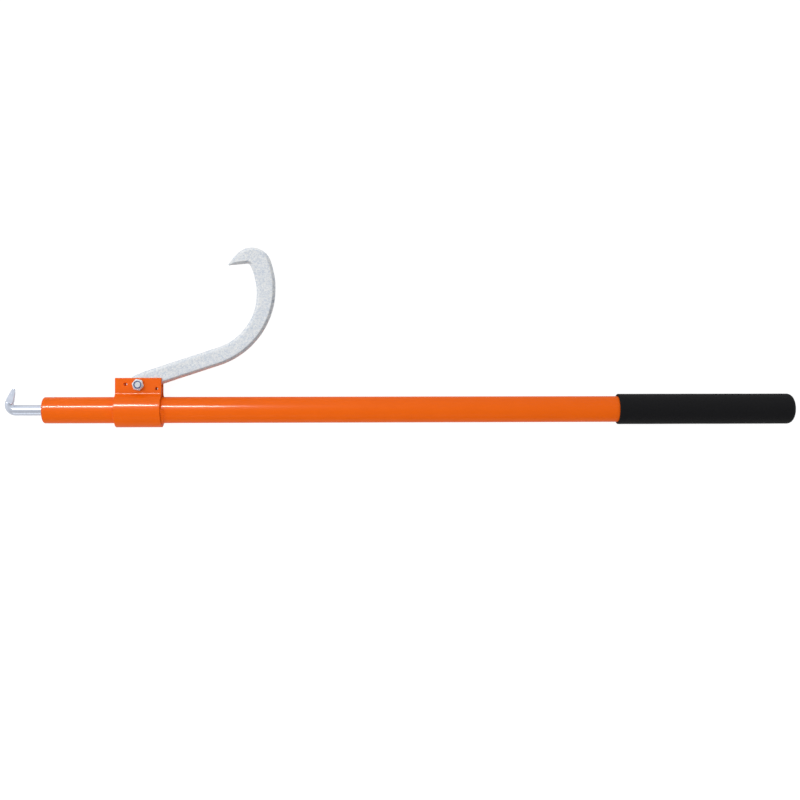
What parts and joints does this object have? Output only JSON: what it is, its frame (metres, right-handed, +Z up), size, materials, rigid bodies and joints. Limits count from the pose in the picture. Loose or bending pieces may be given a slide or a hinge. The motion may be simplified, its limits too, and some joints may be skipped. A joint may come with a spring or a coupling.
{
  "type": "cant hook",
  "caption": "Steel tube log lever with a fixed toe hook, a hinged swinging hook in a welded clevis and a rubber grip.",
  "frame": {"origin": "bottom centre of the tool's box as it lies on its side; the clevis band's lowest line touches z = 0", "axes": "+X along the tube from the toe hook to the grip, +Y towards the side the hook stands out on, +Z up along the hook's pivot bolt"},
  "size_m": [1.219, 0.2748, 0.0526],
  "materials": {
    "orange_paint": "semi-gloss orange powder coat",
    "zinc_forging": "mottled, satin zinc plate over a forging",
    "bright_plate": "bright zinc plate",
    "zinc_fastener": "bright zinc plated fastener",
    "blue_nylon": "nylon locking ring",
    "black_rubber": "matte black foam rubber",
    "black_plastic": "moulded black plastic"
  },
  "bodies": {
    "handle": {"handle_tube": "orange_paint", "toe_socket": "orange_paint", "toe_socket_weld": "orange_paint", "toe_set_screw": "bright_plate", "toe_hook": "bright_plate", "clevis_bracket": "orange_paint", "clevis_weld_toe_side": "orange_paint", "clevis_weld_grip_side": "orange_paint", "pivot_bolt": "zinc_fastener", "pivot_nut": "zinc_fastener", "pivot_nut_insert": "blue_nylon", "grip_sleeve": "black_rubber", "tube_end_plug": "black_plastic"},
    "hook": {"swing_hook": "zinc_forging"}
  },
  "joints": [
    {"name": "hook_pivot", "type": "hinge", "parent": "handle", "child": "hook", "pos_m": [-0.4063, -0.07272, 0.0263], "axis": [0, 0, 1], "range_deg": [-21.5, 150]}
  ]
}
